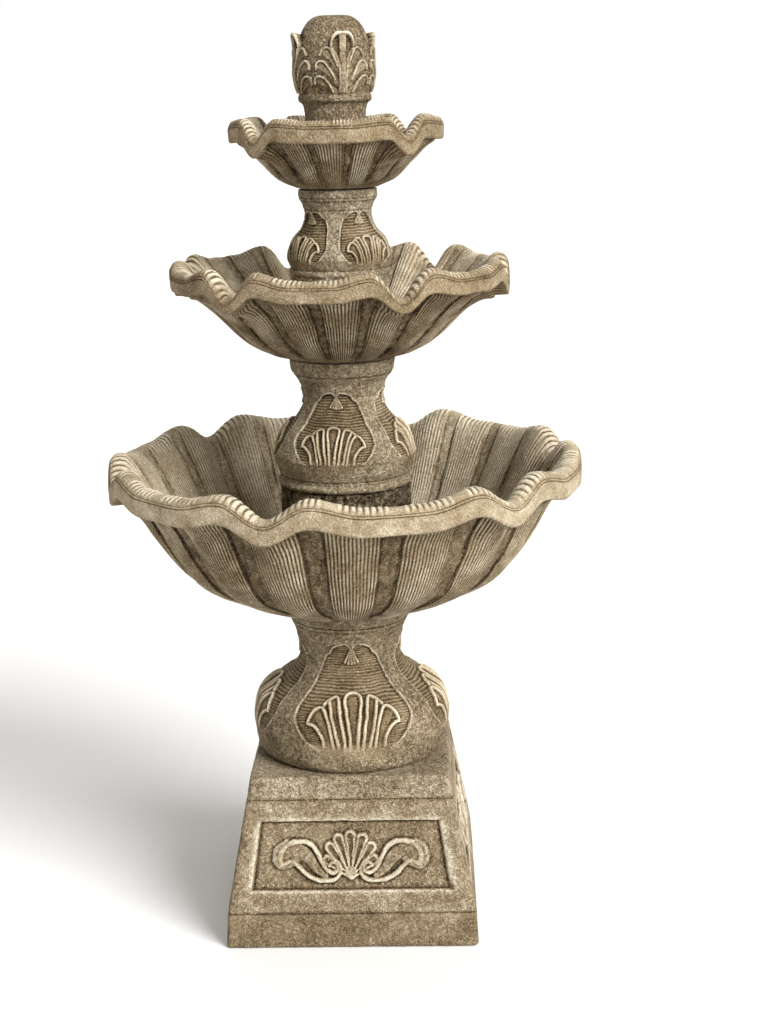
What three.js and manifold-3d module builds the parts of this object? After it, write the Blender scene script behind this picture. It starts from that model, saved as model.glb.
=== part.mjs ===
// Three-tier cast-stone garden fountain, with its pump and plumbing.
// Millimetres, +Z up, front towards -Y, origin at the centre of the footprint on the ground.
import * as THREE from 'three';
import { mergeVertices } from 'three/addons/utils/BufferGeometryUtils.js';
import Module from 'manifold-3d';

const wasm = await Module();
wasm.setup();

// ---------- driving dimensions ----------
const GAP = 0.3; // clearance between pieces that rest on each other

// pedestal base, a hollow square plinth
const BASE_H = 284;
const BASE_FOOT_H = 60.5; // height of the steep lowest course
const BASE_HALF_BOTTOM = 209;
const BASE_HALF_FOOT = 205;
const BASE_HALF_TOP = 163;
const BASE_WALL = 42;
const BASE_TOP_THICK = 45;
const BASE_HOLE_R = 50;
const PANEL_LOW = 98;
const PANEL_HIGH = 212;
const PANEL_MARGIN = 31.5; // from the panel's side to the edge of the face
const PANEL_DEPTH = 6;
const CORD_NOTCH_W = 30;
const CORD_NOTCH_H = 20;

// heights of the joints between the stacked castings
const LOWER_BOWL_Z = 535; // underside of the lower bowl
const LOWER_FLOOR_Z = 575;
const RISER_TOP_Z = 744.4;
const MIDDLE_BOWL_Z = 956;
const MIDDLE_FLOOR_Z = 985;
const TOP_BOWL_Z = 1226.5;
const TOP_FLOOR_Z = 1254;
const FOUNTAIN_H = 1490;
const SETTING_RING_T = 2.4;

// riser that stands in the lower bowl and covers the pump
const RISER_R = 109;
const RISER_BORE_R = 84;
const RISER_LID_T = 28;
const INTAKE_W = 36;
const INTAKE_H = 32;
const INTAKE_COUNT = 4;

// bores of the castings
const CORD_HOLE_R = 22;
const LOWER_COLUMN_BORE_R = 58;
const MIDDLE_COLUMN_BORE_R = 24;
const UPPER_COLUMN_BORE_R = 20;
const GROMMET_HOLE_R = 17;
const FINIAL_BORE_R = 13;

// supply tube, 1/2 in clear vinyl
const TUBE_R = 9.5;
const TUBE_BORE_R = 6.9;
const TUBE_TOP_Z = 1404;
const TUBE_SIDES = 16;

// submersible pump; its outlet is on the fountain's axis and its front faces -Y
const FOOT_H = 6;
const PUMP_HALF_W = 30;
const PUMP_H = 62;
const PUMP_FRONT_Y = -14;
const PUMP_BACK_Y = 48;
const PUMP_LOW = LOWER_FLOOR_Z + GAP + FOOT_H;
const PUMP_TOP = PUMP_LOW + PUMP_H;
const PUMP_AXIS_Z = PUMP_LOW + PUMP_H / 2;
const STRAINER_DEPTH = 22;
const STRAINER_WALL = 3;
const ROTOR_WELL_R = 13;
const VOLUTE_R = 21;
const SHAFT_R = 2;
const OUTLET_R = 8;
const IMPELLER_VANES = 6;

// rim wave and ribbing of each bowl; angles in degrees from the front towards +X
const LOWER_RIM = { lips: 6, first: -16, drop: 32, sag: 15, peak: 10.5, bands: 18, rib: 4.5 };
const MIDDLE_RIM = { lips: 6, first: -37, drop: 42, sag: 12, peak: 11, bands: 18, rib: 3.4 };
const TOP_RIM = { lips: 4, first: -46, drop: 30, sag: 4, peak: 14, bands: 16, rib: 2.4 };

// ---------- materials ----------
function material(colour, roughness, metalness = 0) {
  return new THREE.MeshStandardMaterial({ color: colour, roughness, metalness });
}
const CAST_STONE = ['#a59678', 0.9];
const RISER_STONE = ['#94846a', 0.95];
const BLACK_PLASTIC = ['#1b1c1e', 0.45];
const GREY_PLASTIC = ['#4a4d50', 0.5];
const BLACK_RUBBER = ['#161616', 0.8];
const CLEAR_VINYL = ['#cfd6d2', 0.25];
const CERAMIC = ['#e6e1d6', 0.3];
const FERRITE = ['#3a3a3c', 0.6];
const COPPER = ['#a8694a', 0.4, 1];
const STEEL = ['#b9bcc0', 0.3, 1];

// ---------- helpers ----------
const fountain = new THREE.Group();

function piece(name, geometry, look) {
  const mesh = new THREE.Mesh(geometry, material(...look));
  mesh.name = name;
  fountain.add(mesh);
}

// merges shared vertices and drops the empty triangles at a pole, so that a geometry is one closed shell
function closed(geometry) {
  const bare = geometry.clone();
  bare.deleteAttribute('normal');
  bare.deleteAttribute('uv');
  const shell = mergeVertices(bare, 1e-3);
  const corners = [];
  for (let i = 0; i < shell.index.count; i += 3) {
    const [a, b, c] = [0, 1, 2].map((k) => shell.index.getX(i + k));
    if (a !== b && b !== c && c !== a) corners.push(a, b, c);
  }
  shell.setIndex(corners);
  return shell;
}

function solid(geometry) {
  const shell = closed(geometry);
  return new wasm.Manifold(new wasm.Mesh({
    numProp: 3,
    vertProperties: Float32Array.from(shell.attributes.position.array),
    triVerts: Uint32Array.from(shell.index.array),
  }));
}

function geometryOf(manifold) {
  const mesh = manifold.getMesh();
  const geometry = new THREE.BufferGeometry();
  geometry.setAttribute('position', new THREE.BufferAttribute(mesh.vertProperties, 3));
  geometry.setIndex(new THREE.BufferAttribute(mesh.triVerts, 1));
  return geometry;
}

function join(...geometries) {
  return geometryOf(geometries.map(solid).reduce((a, b) => a.add(b)));
}

function cut(geometry, ...tools) {
  return geometryOf(tools.map(solid).reduce((body, tool) => body.subtract(tool), solid(geometry)));
}

// points of a smooth outline through the given [radius, height] pairs
function smooth(points, divisions) {
  return new THREE.SplineCurve(points.map(([r, z]) => new THREE.Vector2(r, z))).getPoints(divisions);
}

function straight(points) {
  return points.map(([r, z]) => new THREE.Vector2(r, z));
}

// turns an outline about +Z; a profile runs so that its solid lies on its left
function turned(profile, segments, start = 0) {
  const onAxis = profile[0].x === 0 && profile.at(-1).x === 0;
  const ring = onAxis ? profile : [...profile, profile[0].clone()];
  return closed(new THREE.LatheGeometry(ring, segments, start)).rotateX(Math.PI / 2);
}

function disc(radius, height, z, segments) {
  return new THREE.CylinderGeometry(radius, radius, height, segments)
    .rotateX(Math.PI / 2).translate(0, 0, z + height / 2);
}

function ringOf(outer, inner, low, high, segments) {
  return turned(straight([[inner, low], [outer, low], [outer, high], [inner, high]]), segments);
}

// box between two corners
function block(low, high) {
  const size = high.map((value, i) => value - low[i]);
  return new THREE.BoxGeometry(...size)
    .translate(...low.map((value, i) => value + size[i] / 2));
}

// lays a piece turned about +Z along the pump's axis, so that its z becomes y
function alongPumpAxis(geometry) {
  return geometry.rotateX(-Math.PI / 2).translate(0, 0, PUMP_AXIS_Z);
}

// ---------- bowls ----------
// angle from the bottom of the nearest lip, in degrees
function fromLip(angle, rim) {
  const spacing = 360 / rim.lips;
  const offset = THREE.MathUtils.euclideanModulo(angle - rim.first + spacing / 2, spacing);
  return Math.abs(offset - spacing / 2);
}

function ease(t) {
  return (1 - Math.cos(Math.PI * THREE.MathUtils.clamp(t, 0, 1))) / 2;
}

// height of the rim above its crests' level: -drop at a lip, 0 at its shoulders, -sag between
function rimWave(angle, rim) {
  const away = fromLip(angle, rim);
  if (away < rim.peak) return -rim.drop * (1 - ease(away / rim.peak));
  const half = 180 / rim.lips;
  return -rim.sag * ease((away - rim.peak) / (half - rim.peak) * 1.6);
}

// A bowl from its profile. Each point is [radius, height, share of rim wave, share of ribs]
function bowl(points, rim, segments) {
  const profile = straight(points);
  const shares = points.map(([, , wave, rib]) => [wave, rib]);
  const ring = [...profile, profile[0].clone()];
  shares.push(shares[0]);
  const lathe = new THREE.LatheGeometry(ring, segments);
  const position = lathe.attributes.position;
  for (let i = 0; i < position.count; i += 1) {
    const [wave, rib] = shares[i % ring.length];
    const column = Math.floor(i / ring.length) % segments;
    const turn = (column / segments) * 2 * Math.PI;
    const angle = THREE.MathUtils.radToDeg(turn);
    const ribs = Math.cos(rim.bands * (turn - THREE.MathUtils.degToRad(rim.first)));
    const radius = ring[i % ring.length].x + rib * rim.rib * ribs;
    const height = ring[i % ring.length].y + wave * rimWave(angle, rim);
    position.setXYZ(i, radius * Math.sin(turn), height, radius * Math.cos(turn));
  }
  return closed(lathe).rotateX(Math.PI / 2);
}

// spreads [wave, rib] shares over a smooth stretch of a bowl's profile
function stretch(points, divisions, waveAt, ribAt) {
  const line = smooth(points, divisions);
  return line.map((p, i) => [p.x, p.y, waveAt(i / divisions), ribAt(i / divisions)]);
}

function lowerBowl() {
  const under = stretch(
    [[112, 535], [152, 546], [210, 569], [264, 600], [297, 640], [322, 684], [345, 722], [378, 755]], 7,
    (s) => 0.8 * ease((s - 0.55) / 0.45), (s) => ease(s * 4),
  );
  const rim = [[388.5, 764, 0.8, 0.5], [391, 780, 0.9, 0.5], [385, 798, 1, 0.3], [370, 801, 1, 0.1]];
  const inside = stretch(
    [[352, 782], [332, 740], [310, 695], [284, 650], [240, 608], [180, 583], [130, 575]], 5,
    (s) => 1 - ease(s / 0.45), (s) => 0.8 * ease((1 - s) * 4) * ease(s * 3 + 0.3),
  );
  const hole = [[CORD_HOLE_R, LOWER_FLOOR_Z, 0, 0], [CORD_HOLE_R, LOWER_BOWL_Z, 0, 0]];
  return bowl([...under, ...rim, ...inside, ...hole], LOWER_RIM, 72);
}

function middleBowl() {
  const under = stretch(
    [[92, 956], [129, 968], [163, 990], [202, 1030], [233, 1057], [263, 1077]], 5,
    (s) => 0.6 * ease((s - 0.5) / 0.5), (s) => ease(s * 4),
  );
  const rim = [[272.5, 1086, 0.6, 0.5], [275, 1100, 0.85, 0.5], [270, 1113, 1, 0.3], [257, 1116, 1, 0.1]];
  const inside = stretch(
    [[246, 1108], [227, 1080], [197, 1045], [162, 1010], [128, 991], [100, 985]], 4,
    (s) => 1 - ease(s / 0.4), (s) => 0.8 * ease((1 - s) * 4) * ease(s * 3 + 0.3),
  );
  const hole = [[GROMMET_HOLE_R, MIDDLE_FLOOR_Z, 0, 0], [GROMMET_HOLE_R, MIDDLE_BOWL_Z, 0, 0]];
  return bowl([...under, ...rim, ...inside, ...hole], MIDDLE_RIM, 54);
}

function topBowl() {
  const under = stretch(
    [[66, 1226.5], [95, 1240], [125, 1270], [144, 1289], [163, 1301]], 4,
    (s) => 0.8 * ease((s - 0.4) / 0.6), (s) => ease(s * 4),
  );
  const rim = [[170, 1308, 0.8, 0.4], [172, 1321, 0.9, 0.4], [167, 1336, 1, 0.3], [158, 1337, 1, 0.1]];
  const inside = stretch(
    [[148, 1329], [136, 1307], [115, 1280], [92, 1261], [70, 1254]], 3,
    (s) => 1 - ease(s / 0.5), (s) => 0.8 * ease((1 - s) * 4) * ease(s * 3 + 0.3),
  );
  const hole = [[GROMMET_HOLE_R, TOP_FLOOR_Z, 0, 0], [GROMMET_HOLE_R, TOP_BOWL_Z, 0, 0]];
  return bowl([...under, ...rim, ...inside, ...hole], TOP_RIM, 48);
}

// ---------- base and columns ----------
function baseHalfAt(z) {
  if (z < BASE_FOOT_H) {
    return THREE.MathUtils.mapLinear(z, 0, BASE_FOOT_H, BASE_HALF_BOTTOM, BASE_HALF_FOOT);
  }
  return THREE.MathUtils.mapLinear(z, BASE_FOOT_H, BASE_H, BASE_HALF_FOOT, BASE_HALF_TOP);
}

// shallow trapezoid that is sunk into a sloping face of the base, on the side at the given turn
function panelTool(turn) {
  const lean = Math.atan2(BASE_HALF_FOOT - BASE_HALF_TOP, BASE_H - BASE_FOOT_H);
  const rise = (PANEL_HIGH - PANEL_LOW) / Math.cos(lean);
  const low = baseHalfAt(PANEL_LOW) - PANEL_MARGIN;
  const high = baseHalfAt(PANEL_HIGH) - PANEL_MARGIN;
  const outline = new THREE.Shape(straight([[-low, 0], [low, 0], [high, rise], [-high, rise]]));
  return new THREE.ExtrudeGeometry(outline, { depth: PANEL_DEPTH * 3, bevelEnabled: false })
    .translate(0, 0, -PANEL_DEPTH)
    .rotateX(Math.PI / 2 - lean)
    .translate(0, -baseHalfAt(PANEL_LOW), PANEL_LOW)
    .rotateZ(turn);
}

function pedestalBase() {
  const corner = Math.SQRT2; // a four-sided turning reaches its corners at this share of its half width
  const ceiling = BASE_H - BASE_TOP_THICK;
  const shell = turned(straight([
    [(BASE_HALF_BOTTOM - BASE_WALL) * corner, 0],
    [BASE_HALF_BOTTOM * corner, 0],
    [BASE_HALF_FOOT * corner, BASE_FOOT_H],
    [BASE_HALF_TOP * corner, BASE_H],
    [20 * corner, BASE_H],
    [20 * corner, ceiling],
    [(baseHalfAt(ceiling) - BASE_WALL) * corner, ceiling],
  ]), 4, Math.PI / 4);
  const panels = [0, 1, 2, 3].map((side) => panelTool(side * Math.PI / 2));
  const hole = disc(BASE_HOLE_R, 3 * BASE_TOP_THICK, ceiling - BASE_TOP_THICK, 32);
  const notch = block(
    [-CORD_NOTCH_W / 2, BASE_HALF_BOTTOM - 2 * BASE_WALL, -CORD_NOTCH_H],
    [CORD_NOTCH_W / 2, BASE_HALF_BOTTOM + BASE_WALL, CORD_NOTCH_H],
  );
  return cut(shell, ...panels, hole, notch);
}

function lowerColumn() {
  const low = BASE_H + GAP;
  const high = LOWER_BOWL_Z - GAP;
  const outside = smooth([
    [150, low], [162, 302], [166.5, 348], [157, 382], [134, 402],
    [106, 421], [88, 448], [88, 480], [95, 503], [111, high],
  ], 12);
  const bore = straight([[LOWER_COLUMN_BORE_R, high], [LOWER_COLUMN_BORE_R, low]]);
  return turned([...outside, ...bore], 32);
}

function riser() {
  const shell = turned(straight([
    [RISER_BORE_R, LOWER_FLOOR_Z + GAP],
    [RISER_R, LOWER_FLOOR_Z + GAP],
    [RISER_R, RISER_TOP_Z],
    [MIDDLE_COLUMN_BORE_R, RISER_TOP_Z],
    [MIDDLE_COLUMN_BORE_R, RISER_TOP_Z - RISER_LID_T],
    [RISER_BORE_R, RISER_TOP_Z - RISER_LID_T],
  ]), 32);
  const intakes = [];
  for (let i = 0; i < INTAKE_COUNT; i += 1) {
    const arch = new THREE.Shape();
    arch.moveTo(-INTAKE_W / 2, -INTAKE_H);
    arch.lineTo(INTAKE_W / 2, -INTAKE_H);
    arch.lineTo(INTAKE_W / 2, INTAKE_H - INTAKE_W / 2);
    arch.absarc(0, INTAKE_H - INTAKE_W / 2, INTAKE_W / 2, 0, Math.PI, false);
    intakes.push(new THREE.ExtrudeGeometry(arch, { depth: 60, bevelEnabled: false, curveSegments: 5 })
      .rotateX(Math.PI / 2)
      .translate(0, -RISER_BORE_R + 20, LOWER_FLOOR_Z)
      .rotateZ((i * 2 * Math.PI) / INTAKE_COUNT));
  }
  return cut(shell, ...intakes);
}

function middleColumn() {
  const low = RISER_TOP_Z + GAP;
  const high = MIDDLE_BOWL_Z - SETTING_RING_T - 2 * GAP;
  const ring = smooth([[104, low], [111, low + 4], [111, low + 9], [106, low + 12.5]], 3);
  const body = smooth([
    [110, 768], [117, 800], [105, 833], [82, 857], [67, 886], [70, 911], [83, 932], [87, high],
  ], 9);
  const bore = straight([[MIDDLE_COLUMN_BORE_R, high], [MIDDLE_COLUMN_BORE_R, low]]);
  return turned([...ring, ...body, ...bore], 32);
}

function upperColumn() {
  const low = MIDDLE_FLOOR_Z + GAP;
  const high = TOP_BOWL_Z - SETTING_RING_T - 2 * GAP;
  const drum = straight([[79, low], [79, 1088], [81, 1094], [79, 1100]]);
  const body = smooth([
    [83, 1110], [84, 1121], [75, 1144], [60, 1162], [53.5, 1181], [57, 1199], [63, 1210], [63, high],
  ], 8);
  const bore = straight([[UPPER_COLUMN_BORE_R, high], [UPPER_COLUMN_BORE_R, low]]);
  return turned([...drum, ...body, ...bore], 28);
}

function finial() {
  const low = TOP_FLOOR_Z + GAP;
  const neck = smooth([[58, low], [50, 1290], [47.5, 1335], [51, 1353], [56, 1362]], 4);
  const leaves = smooth([
    [56, 1373], [62, 1385], [65.5, 1402], [63, 1425], [63, 1440], [66, 1453], [56, 1465], [46, 1474],
  ], 6);
  const crown = straight([[36, 1482], [FINIAL_BORE_R + 8, FOUNTAIN_H], [FINIAL_BORE_R, FOUNTAIN_H - 4]]);
  return turned([...neck, ...leaves, ...crown, new THREE.Vector2(FINIAL_BORE_R, low)], 28);
}

// ---------- plumbing ----------
function stopper() {
  const low = LOWER_BOWL_Z + 8;
  const high = LOWER_FLOOR_Z - 3;
  const plug = disc(CORD_HOLE_R - GAP, high - low, low, 28);
  const cordHole = disc(4, 3 * (high - low), low - (high - low), 12).translate(0, 10, 0);
  const slit = block([-1, 10, low - 5], [1, CORD_HOLE_R + 5, high + 5]);
  return cut(plug, cordHole, slit);
}

function supplyTube() {
  const bottom = LOWER_FLOOR_Z + GAP + FOOT_H + PUMP_H + 8;
  return ringOf(TUBE_R, TUBE_BORE_R, bottom, TUBE_TOP_Z, TUBE_SIDES);
}

function grommet(low, high) {
  return ringOf(GROMMET_HOLE_R - 2 * GAP, TUBE_R + GAP, low + 1, high - 1, TUBE_SIDES);
}

function clamp(z) {
  const band = ringOf(TUBE_R + GAP + 1.4, TUBE_R + GAP, z, z + 8, TUBE_SIDES);
  const screwBox = block([-5, -TUBE_R - 6, z + 0.5], [5, -TUBE_R - 1.2, z + 7.5]);
  const screw = new THREE.CylinderGeometry(2.2, 2.2, 15, 12).rotateZ(Math.PI / 2)
    .translate(0, -TUBE_R - 4.2, z + 4);
  return join(band, screwBox, screw);
}

function nozzlePipe() {
  const low = TUBE_TOP_Z - 26;
  const barb = TUBE_BORE_R - GAP;
  const bore = barb - 1.6;
  return turned(straight([
    [bore, low], [barb - 0.6, low], [barb, low + 4], [barb - 0.6, low + 5], [barb - 0.6, TUBE_TOP_Z + GAP],
    [FINIAL_BORE_R - GAP, TUBE_TOP_Z + GAP + 2], [FINIAL_BORE_R - GAP, TUBE_TOP_Z + 12],
    [9, TUBE_TOP_Z + 14], [9, FOUNTAIN_H - 10], [7.4, FOUNTAIN_H - 10], [7.4, TUBE_TOP_Z + 12],
    [bore, TUBE_TOP_Z + 6],
  ]), TUBE_SIDES);
}

// ---------- pump ----------
// rounded block between two y planes
function roundedBlock(halfWidth, low, high, fromY, toY, radius) {
  const outline = new THREE.Shape();
  outline.moveTo(-halfWidth + radius, low);
  outline.lineTo(halfWidth - radius, low);
  outline.absarc(halfWidth - radius, low + radius, radius, -Math.PI / 2, 0, false);
  outline.lineTo(halfWidth, high - radius);
  outline.absarc(halfWidth - radius, high - radius, radius, 0, Math.PI / 2, false);
  outline.lineTo(-halfWidth + radius, high);
  outline.absarc(-halfWidth + radius, high - radius, radius, Math.PI / 2, Math.PI, false);
  outline.lineTo(-halfWidth, low + radius);
  outline.absarc(-halfWidth + radius, low + radius, radius, Math.PI, 1.5 * Math.PI, false);
  return new THREE.ExtrudeGeometry(outline, { depth: toY - fromY, bevelEnabled: false, curveSegments: 4 })
    .rotateX(Math.PI / 2).translate(0, toY, 0);
}

function pumpHousing() {
  const body = roundedBlock(PUMP_HALF_W, PUMP_LOW, PUMP_TOP, PUMP_FRONT_Y, PUMP_BACK_Y, 8);
  const volute = alongPumpAxis(disc(VOLUTE_R, 16, PUMP_FRONT_Y - 2, 24));
  const well = alongPumpAxis(disc(ROTOR_WELL_R, 50, PUMP_FRONT_Y, 20));
  const bushSeat = alongPumpAxis(disc(6, 10, PUMP_FRONT_Y + 44, 16));
  const sealGroove = alongPumpAxis(ringOf(25.6, 22.6, PUMP_FRONT_Y - 2, PUMP_FRONT_Y + 2.1, 24));
  const outlet = disc(OUTLET_R, 60, PUMP_AXIS_Z, TUBE_SIDES);
  const cordHole = disc(5, 30, 0, 16).rotateX(-Math.PI / 2).translate(0, PUMP_BACK_Y - 10, PUMP_TOP - 16);
  return cut(body, volute, well, bushSeat, sealGroove, outlet, cordHole);
}

function impeller() {
  const back = PUMP_FRONT_Y + 13.5;
  const parts = [disc(17, 2, back - 2, 24), disc(6, 9.5, back - 9.5, 16)];
  for (let i = 0; i < IMPELLER_VANES; i += 1) {
    parts.push(block([4, -1, back - 9], [18, 1, back - 1]).rotateZ((i * 2 * Math.PI) / IMPELLER_VANES));
  }
  return alongPumpAxis(cut(join(...parts), disc(SHAFT_R + GAP, 40, back - 30, 16)));
}

function impellerCover() {
  const back = PUMP_FRONT_Y - GAP;
  const plate = disc(26.5, 3, back - 3, 24);
  const inlet = disc(10, 20, back - 10, 16);
  const spokes = [0, 1, 2].map((i) => block([-1.5, 0, back - 3], [1.5, 12, back])
    .rotateZ((i * 2 * Math.PI) / 3));
  const hub = disc(5.5, 6, back - 3, 16);
  const body = join(cut(plate, inlet), ...spokes, hub);
  return alongPumpAxis(cut(body, disc(3.6, 20, back - 1.5, 16)));
}

function strainerCover() {
  const front = PUMP_FRONT_Y - GAP - STRAINER_DEPTH;
  const back = PUMP_FRONT_Y - GAP;
  const shell = roundedBlock(PUMP_HALF_W, PUMP_LOW, PUMP_TOP, front, back, 8);
  const hollow = roundedBlock(
    PUMP_HALF_W - STRAINER_WALL, PUMP_LOW + STRAINER_WALL, PUMP_TOP - STRAINER_WALL,
    front + STRAINER_WALL, back + 5, 6,
  );
  const tools = [hollow];
  for (const x of [-24, -18, 18, 24]) {
    tools.push(block([x - 1.5, front - 2, PUMP_LOW + 12], [x + 1.5, front + 8, PUMP_TOP - 12]));
  }
  for (const y of [6, 12]) {
    const at = front + y;
    tools.push(block([-PUMP_HALF_W - 2, at - 1.2, PUMP_LOW + 12], [PUMP_HALF_W + 2, at + 1.2, PUMP_TOP - 12]));
  }
  const dialSeat = alongPumpAxis(disc(4.4, 12, front - 4, 16));
  return cut(shell, ...tools, dialSeat);
}

function flowDial() {
  const face = PUMP_FRONT_Y - GAP - STRAINER_DEPTH;
  const knob = disc(12, 5, face - 5 - GAP, 28);
  const pointer = block([-1.5, -11, face - 8], [1.5, 11, face - 4]);
  const stem = disc(4, STRAINER_WALL + 2, face - 1, 16);
  return alongPumpAxis(join(knob, pointer, stem));
}

function outletBarb() {
  const low = PUMP_TOP + GAP;
  const barb = TUBE_BORE_R - GAP;
  const bore = barb - 1.7;
  return turned(straight([
    [bore, low - 8], [OUTLET_R - 0.5, low - 8], [OUTLET_R - 0.5, low], [12, low], [12, low + 5],
    [barb - 0.6, low + 7], [barb - 0.6, low + 16], [barb, low + 17], [barb - 0.6, low + 22], [bore, low + 22],
  ]), TUBE_SIDES);
}

function suctionFoot(x, y) {
  const low = LOWER_FLOOR_Z + GAP;
  const cup = turned(straight([
    [0, low + 1], [6, low], [8, low], [3.4, low + 4], [3.4, low + FOOT_H - GAP], [0, low + FOOT_H - GAP],
  ]), 14);
  return cup.translate(x, y, 0);
}

function cordGland() {
  const profile = straight([[0, 0], [8, 0], [8, 4], [6.4, 6], [5.2, 16], [3.6, 18], [3.6, 12], [0, 12]]);
  return turned(profile, 20).rotateX(-Math.PI / 2).translate(0, PUMP_BACK_Y + GAP, PUMP_TOP - 16);
}

// ---------- the fountain ----------
piece('pedestal_base', pedestalBase(), CAST_STONE);
piece('lower_column', lowerColumn(), CAST_STONE);
piece('lower_bowl', lowerBowl(), CAST_STONE);
piece('pump_riser', riser(), RISER_STONE);
piece('middle_column', middleColumn(), CAST_STONE);
piece('middle_bowl_setting_ring', ringOf(
  80, 56, MIDDLE_BOWL_Z - GAP - SETTING_RING_T, MIDDLE_BOWL_Z - GAP, 28,
), BLACK_RUBBER);
piece('middle_bowl', middleBowl(), CAST_STONE);
piece('upper_column', upperColumn(), CAST_STONE);
piece('top_bowl_setting_ring', ringOf(
  57, 38, TOP_BOWL_Z - GAP - SETTING_RING_T, TOP_BOWL_Z - GAP, 24,
), BLACK_RUBBER);
piece('top_bowl', topBowl(), CAST_STONE);
piece('finial', finial(), CAST_STONE);

piece('cord_hole_stopper', stopper(), BLACK_RUBBER);
piece('supply_tube', supplyTube(), CLEAR_VINYL);
piece('middle_bowl_grommet', grommet(MIDDLE_BOWL_Z, MIDDLE_FLOOR_Z), BLACK_RUBBER);
piece('top_bowl_grommet', grommet(TOP_BOWL_Z, TOP_FLOOR_Z), BLACK_RUBBER);
piece('pump_hose_clamp', clamp(PUMP_TOP + 13), STEEL);
piece('nozzle_pipe', nozzlePipe(), COPPER);

piece('pump_housing', pumpHousing(), BLACK_PLASTIC);
piece('impeller_cover', impellerCover(), GREY_PLASTIC);
piece('strainer_cover', strainerCover(), BLACK_PLASTIC);
piece('flow_dial', flowDial(), GREY_PLASTIC);
piece('outlet_barb', outletBarb(), BLACK_PLASTIC);
piece('cord_gland', cordGland(), BLACK_RUBBER);
piece('impeller', impeller(), GREY_PLASTIC);
piece('magnet_rotor', alongPumpAxis(ringOf(ROTOR_WELL_R - 1.5, SHAFT_R + GAP, 0, 28, 20)), FERRITE);
piece('rotor_shaft', alongPumpAxis(disc(SHAFT_R, 54.8, PUMP_FRONT_Y - 1.4, 16)), CERAMIC);
piece('rear_shaft_bush', alongPumpAxis(ringOf(5.7, SHAFT_R + GAP, 33, 39.6, 16)), BLACK_RUBBER);
piece('front_shaft_bush', alongPumpAxis(ringOf(
  3.3, SHAFT_R + GAP, PUMP_FRONT_Y - 1.5, PUMP_FRONT_Y + 2.5, 16,
)), BLACK_RUBBER);
piece('volute_seal', alongPumpAxis(
  new THREE.TorusGeometry(24.1, 0.9, 6, 24).translate(0, 0, PUMP_FRONT_Y + 1),
), BLACK_RUBBER);
const footAt = [[-22, -6], [22, -6], [-22, 40], [22, 40]];
footAt.forEach(([x, y], i) => piece(`suction_foot_${i + 1}`, suctionFoot(x, y), BLACK_RUBBER));

export default fountain;
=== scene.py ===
"""Looks of the three-tier garden fountain: carved cast-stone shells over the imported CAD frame.

Lengths in the carving code are millimetres and angles are degrees from the front (-Y) towards +X.
"""

import math

import bpy
import numpy as np
from mathutils import Matrix, Vector


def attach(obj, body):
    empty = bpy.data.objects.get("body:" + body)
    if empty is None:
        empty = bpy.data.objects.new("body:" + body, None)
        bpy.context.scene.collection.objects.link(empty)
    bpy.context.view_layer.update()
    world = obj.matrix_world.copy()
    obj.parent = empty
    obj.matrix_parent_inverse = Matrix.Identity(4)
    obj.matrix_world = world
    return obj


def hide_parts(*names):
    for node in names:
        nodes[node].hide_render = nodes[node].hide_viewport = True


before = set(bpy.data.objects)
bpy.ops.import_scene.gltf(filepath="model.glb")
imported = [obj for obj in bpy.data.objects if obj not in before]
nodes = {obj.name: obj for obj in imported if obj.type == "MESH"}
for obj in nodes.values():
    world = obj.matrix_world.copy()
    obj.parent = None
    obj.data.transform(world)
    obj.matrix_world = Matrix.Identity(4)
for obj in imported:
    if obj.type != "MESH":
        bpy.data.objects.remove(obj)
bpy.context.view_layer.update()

MM = 0.001
RNG = np.random.default_rng(11)
LATTICE = RNG.random((48, 48, 48))


# ---------- numbers and shapes ----------
def step(low, high, value):
    """0 below low, 1 above high, smooth between."""
    t = np.clip((value - low) / (high - low), 0, 1)
    return t * t * (3 - 2 * t)


def noise(p, cell, shift=0.0):
    """Smooth noise from -1 to 1; cell is the size of one lump in mm."""
    q = p / cell + 23.7 + shift
    base = np.floor(q).astype(int)
    f = q - base
    f = f * f * (3 - 2 * f)
    size = LATTICE.shape[0]
    total = np.zeros(p.shape[:-1])
    for dx in (0, 1):
        wx = f[..., 0] if dx else 1 - f[..., 0]
        for dy in (0, 1):
            wy = f[..., 1] if dy else 1 - f[..., 1]
            for dz in (0, 1):
                wz = f[..., 2] if dz else 1 - f[..., 2]
                total += wx * wy * wz * LATTICE[
                    (base[..., 0] + dx) % size, (base[..., 1] + dy) % size, (base[..., 2] + dz) % size]
    return 2 * total - 1


def lumps(p, cell, octaves=3):
    """Noise with finer noise on it."""
    total = 0
    for k in range(octaves):
        total = total + noise(p, cell / 2 ** k, 31.7 * k) / 2 ** k
    return total / (2 - 2.0 ** (1 - octaves))


def soft(points, per=8):
    """A Catmull-Rom curve through the points, per samples for each stretch."""
    pts = np.array(points, float)
    ext = np.vstack([2 * pts[0] - pts[1], pts, 2 * pts[-1] - pts[-2]])
    out = []
    for i in range(len(pts) - 1):
        a, b, c, d = ext[i:i + 4]
        for t in np.arange(per) / per:
            out.append(0.5 * (2 * b + (c - a) * t + (2 * a - 5 * b + 4 * c - d) * t * t
                              + (3 * b - a - 3 * c + d) * t ** 3))
    out.append(pts[-1])
    return np.array(out)


def travelled(outline):
    """mm from the start of an outline of [radius, height, shares...] to each of its points."""
    return np.concatenate([[0], np.cumsum(np.hypot(*np.diff(outline[:, :2], axis=0).T))])


def rows_at(outline, length, at):
    """Rows of an outline at these distances along it."""
    return np.stack([np.interp(at, length, outline[:, k]) for k in range(outline.shape[1])], 1)


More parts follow.
